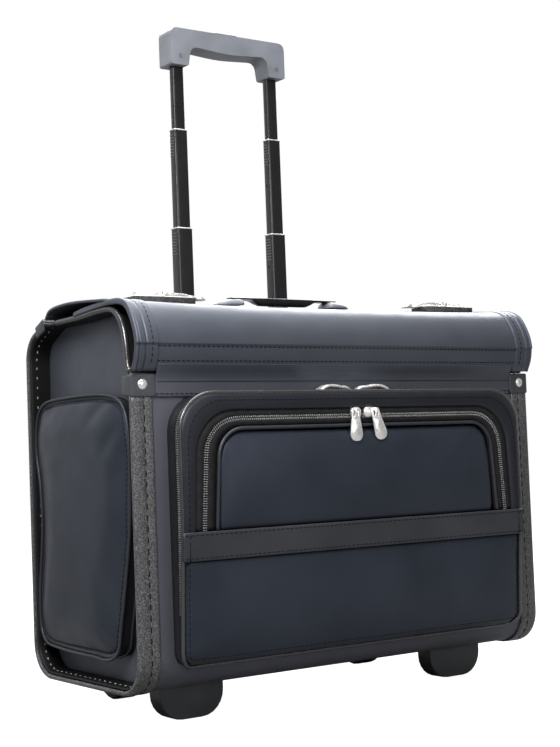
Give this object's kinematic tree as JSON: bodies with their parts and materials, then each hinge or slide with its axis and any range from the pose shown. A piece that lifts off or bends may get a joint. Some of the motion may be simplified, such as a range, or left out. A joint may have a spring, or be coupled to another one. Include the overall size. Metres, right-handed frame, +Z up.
{
  "type": "rolling pilot case",
  "caption": "Upright leather-look pilot case on rear wheels, with a telescoping trolley handle, overlapping top flaps with combination locks, a carry handle and zipped front and end pockets.",
  "frame": {"origin": "on the floor, under the centre of the overall box", "axes": "+X to the right seen from the front, +Y to the back where the trolley stands, +Z up"},
  "size_m": [0.47, 0.2474, 0.686],
  "materials": {
    "leather": "very dark navy-black fine-grained leather-look cover, satin",
    "grained_leather": "black pebble-grained leather-look binding, satin",
    "zipper": "black woven zip tape with a black coil",
    "nickel": "bright polished nickel",
    "gloss_black": "gloss black coating",
    "grey_plastic": "dark grey moulded plastic, satin",
    "wheel_rubber": "dark rubber tread on a moulded hub, matt"
  },
  "bodies": {
    "case": {"wrap_shell": "leather", "hinge_strip": "leather", "pocket_body": "leather", "pocket_zipper_main": "zipper", "pocket_panel": "leather", "pocket_zipper_upper": "zipper", "pocket_panel_upper": "leather", "pocket_strap": "grained_leather", "end_panel_left": "leather", "end_panel_right": "leather", "edge_binding_left": "grained_leather", "edge_binding_right": "grained_leather", "corner_tab_front_left": "grained_leather", "corner_tab_front_right": "grained_leather", "corner_tab_rear_left": "grained_leather", "corner_tab_rear_right": "grained_leather", "tab_rivet_front_left": "nickel", "tab_rivet_front_right": "nickel", "tab_rivet_rear_left": "nickel", "tab_rivet_rear_right": "nickel", "side_pocket_left": "leather", "side_pocket_right": "leather", "front_foot_left": "grey_plastic", "front_foot_right": "grey_plastic", "wheel_housing_left": "grey_plastic", "wheel_housing_right": "grey_plastic", "trolley_socket_left": "grey_plastic", "trolley_socket_right": "grey_plastic"},
    "rear_flap": {"rear_flap": "leather", "carry_handle": "grey_plastic", "lock_case_left": "nickel", "lock_case_right": "nickel", "handle_mount_left": "grey_plastic", "handle_mount_right": "grey_plastic"},
    "front_flap": {"front_flap": "leather"},
    "trolley_stage_1": {"trolley_tube_1_left": "gloss_black", "trolley_tube_1_right": "gloss_black"},
    "trolley_stage_2": {"trolley_tube_2_left": "gloss_black", "trolley_tube_2_right": "gloss_black"},
    "trolley_stage_3": {"trolley_tube_3_left": "gloss_black", "trolley_tube_3_right": "gloss_black", "trolley_grip": "grey_plastic"},
    "release_button": {"trolley_button": "gloss_black"},
    "rear_wheel_left": {"rear_wheel_left": "wheel_rubber"},
    "lock_hasp_left": {"lock_hasp_left": "nickel"},
    "lock_dial_left_1": {"lock_dial_left_1": "nickel"},
    "lock_dial_left_2": {"lock_dial_left_2": "nickel"},
    "lock_dial_left_3": {"lock_dial_left_3": "nickel"},
    "zip_slider_main_left": {"zip_slider_main_left": "nickel"},
    "zip_slider_upper_left": {"zip_slider_upper_left": "nickel"},
    "zip_pull_upper_left": {"zip_pull_upper_left": "nickel"},
    "rear_wheel_right": {"rear_wheel_right": "wheel_rubber"},
    "lock_hasp_right": {"lock_hasp_right": "nickel"},
    "lock_dial_right_1": {"lock_dial_right_1": "nickel"},
    "lock_dial_right_2": {"lock_dial_right_2": "nickel"},
    "lock_dial_right_3": {"lock_dial_right_3": "nickel"},
    "zip_slider_main_right": {"zip_slider_main_right": "nickel"},
    "zip_slider_upper_right": {"zip_slider_upper_right": "nickel"},
    "zip_pull_upper_right": {"zip_pull_upper_right": "nickel"}
  },
  "joints": [
    {"name": "rear_flap_hinge", "type": "hinge", "parent": "case", "child": "rear_flap", "pos_m": [0, 0.0669, 0.3702], "axis": [-1, 0, 0], "range_deg": [0, 85]},
    {"name": "front_flap_hinge", "type": "hinge", "parent": "case", "child": "front_flap", "pos_m": [0, -0.0973, 0.3103], "axis": [1, 0, 0], "range_deg": [0, 47]},
    {"name": "trolley_stage_1_slide", "type": "slide", "parent": "case", "child": "trolley_stage_1", "axis": [0, 0, 1], "range_m": [-0.11, 0.1]},
    {"name": "trolley_stage_2_slide", "type": "slide", "parent": "trolley_stage_1", "child": "trolley_stage_2", "axis": [0, 0, 1], "range_m": [-0.099, 0.115]},
    {"name": "trolley_stage_3_slide", "type": "slide", "parent": "trolley_stage_2", "child": "trolley_stage_3", "axis": [0, 0, 1], "range_m": [-0.066, 0.15]},
    {"name": "release_button_press", "type": "slide", "parent": "trolley_stage_3", "child": "release_button", "axis": [0, 0, -1], "range_m": [0, 0.003], "stiffness_N_per_m": 600},
    {"name": "rear_wheel_left_spin", "type": "hinge", "parent": "case", "child": "rear_wheel_left", "pos_m": [-0.15, 0.0937, 0.03], "axis": [1, 0, 0], "continuous": true},
    {"name": "lock_hasp_left_hinge", "type": "hinge", "parent": "rear_flap", "child": "lock_hasp_left", "pos_m": [-0.17, -0.0398, 0.3858], "axis": [0, -1, 0], "range_deg": [0, 110]},
    {"name": "lock_dial_left_1_spin", "type": "hinge", "parent": "rear_flap", "child": "lock_dial_left_1", "pos_m": [-0.1804, -0.0398, 0.3826], "axis": [1, 0, 0], "continuous": true},
    {"name": "lock_dial_left_2_spin", "type": "hinge", "parent": "rear_flap", "child": "lock_dial_left_2", "pos_m": [-0.187, -0.0398, 0.3826], "axis": [1, 0, 0], "continuous": true},
    {"name": "lock_dial_left_3_spin", "type": "hinge", "parent": "rear_flap", "child": "lock_dial_left_3", "pos_m": [-0.1936, -0.0398, 0.3826], "axis": [1, 0, 0], "continuous": true},
    {"name": "zip_slider_main_left_run", "type": "slide", "parent": "case", "child": "zip_slider_main_left", "axis": [-1, 0, 0], "range_m": [0, 0.11]},
    {"name": "zip_slider_upper_left_run", "type": "slide", "parent": "case", "child": "zip_slider_upper_left", "axis": [-1, 0, 0], "range_m": [0, 0.12]},
    {"name": "zip_pull_upper_left_swing", "type": "hinge", "parent": "zip_slider_upper_left", "child": "zip_pull_upper_left", "pos_m": [-0.011, -0.1219, 0.2705], "axis": [-1, 0, 0], "range_deg": [0, 150]},
    {"name": "rear_wheel_right_spin", "type": "hinge", "parent": "case", "child": "rear_wheel_right", "pos_m": [0.15, 0.0937, 0.03], "axis": [1, 0, 0], "continuous": true},
    {"name": "lock_hasp_right_hinge", "type": "hinge", "parent": "rear_flap", "child": "lock_hasp_right", "pos_m": [0.17, -0.0398, 0.3858], "axis": [0, 1, 0], "range_deg": [0, 110]},
    {"name": "lock_dial_right_1_spin", "type": "hinge", "parent": "rear_flap", "child": "lock_dial_right_1", "pos_m": [0.1804, -0.0398, 0.3826], "axis": [1, 0, 0], "continuous": true},
    {"name": "lock_dial_right_2_spin", "type": "hinge", "parent": "rear_flap", "child": "lock_dial_right_2", "pos_m": [0.187, -0.0398, 0.3826], "axis": [1, 0, 0], "continuous": true},
    {"name": "lock_dial_right_3_spin", "type": "hinge", "parent": "rear_flap", "child": "lock_dial_right_3", "pos_m": [0.1936, -0.0398, 0.3826], "axis": [1, 0, 0], "continuous": true},
    {"name": "zip_slider_main_right_run", "type": "slide", "parent": "case", "child": "zip_slider_main_right", "axis": [1, 0, 0], "range_m": [0, 0.11]},
    {"name": "zip_slider_upper_right_run", "type": "slide", "parent": "case", "child": "zip_slider_upper_right", "axis": [1, 0, 0], "range_m": [0, 0.12]},
    {"name": "zip_pull_upper_right_swing", "type": "hinge", "parent": "zip_slider_upper_right", "child": "zip_pull_upper_right", "pos_m": [0.008, -0.1219, 0.2705], "axis": [-1, 0, 0], "range_deg": [0, 150]}
  ],
  "couplings": [
    {"joint": "front_flap_hinge", "follows": "rear_flap_hinge", "ratio": 0.55}
  ]
}
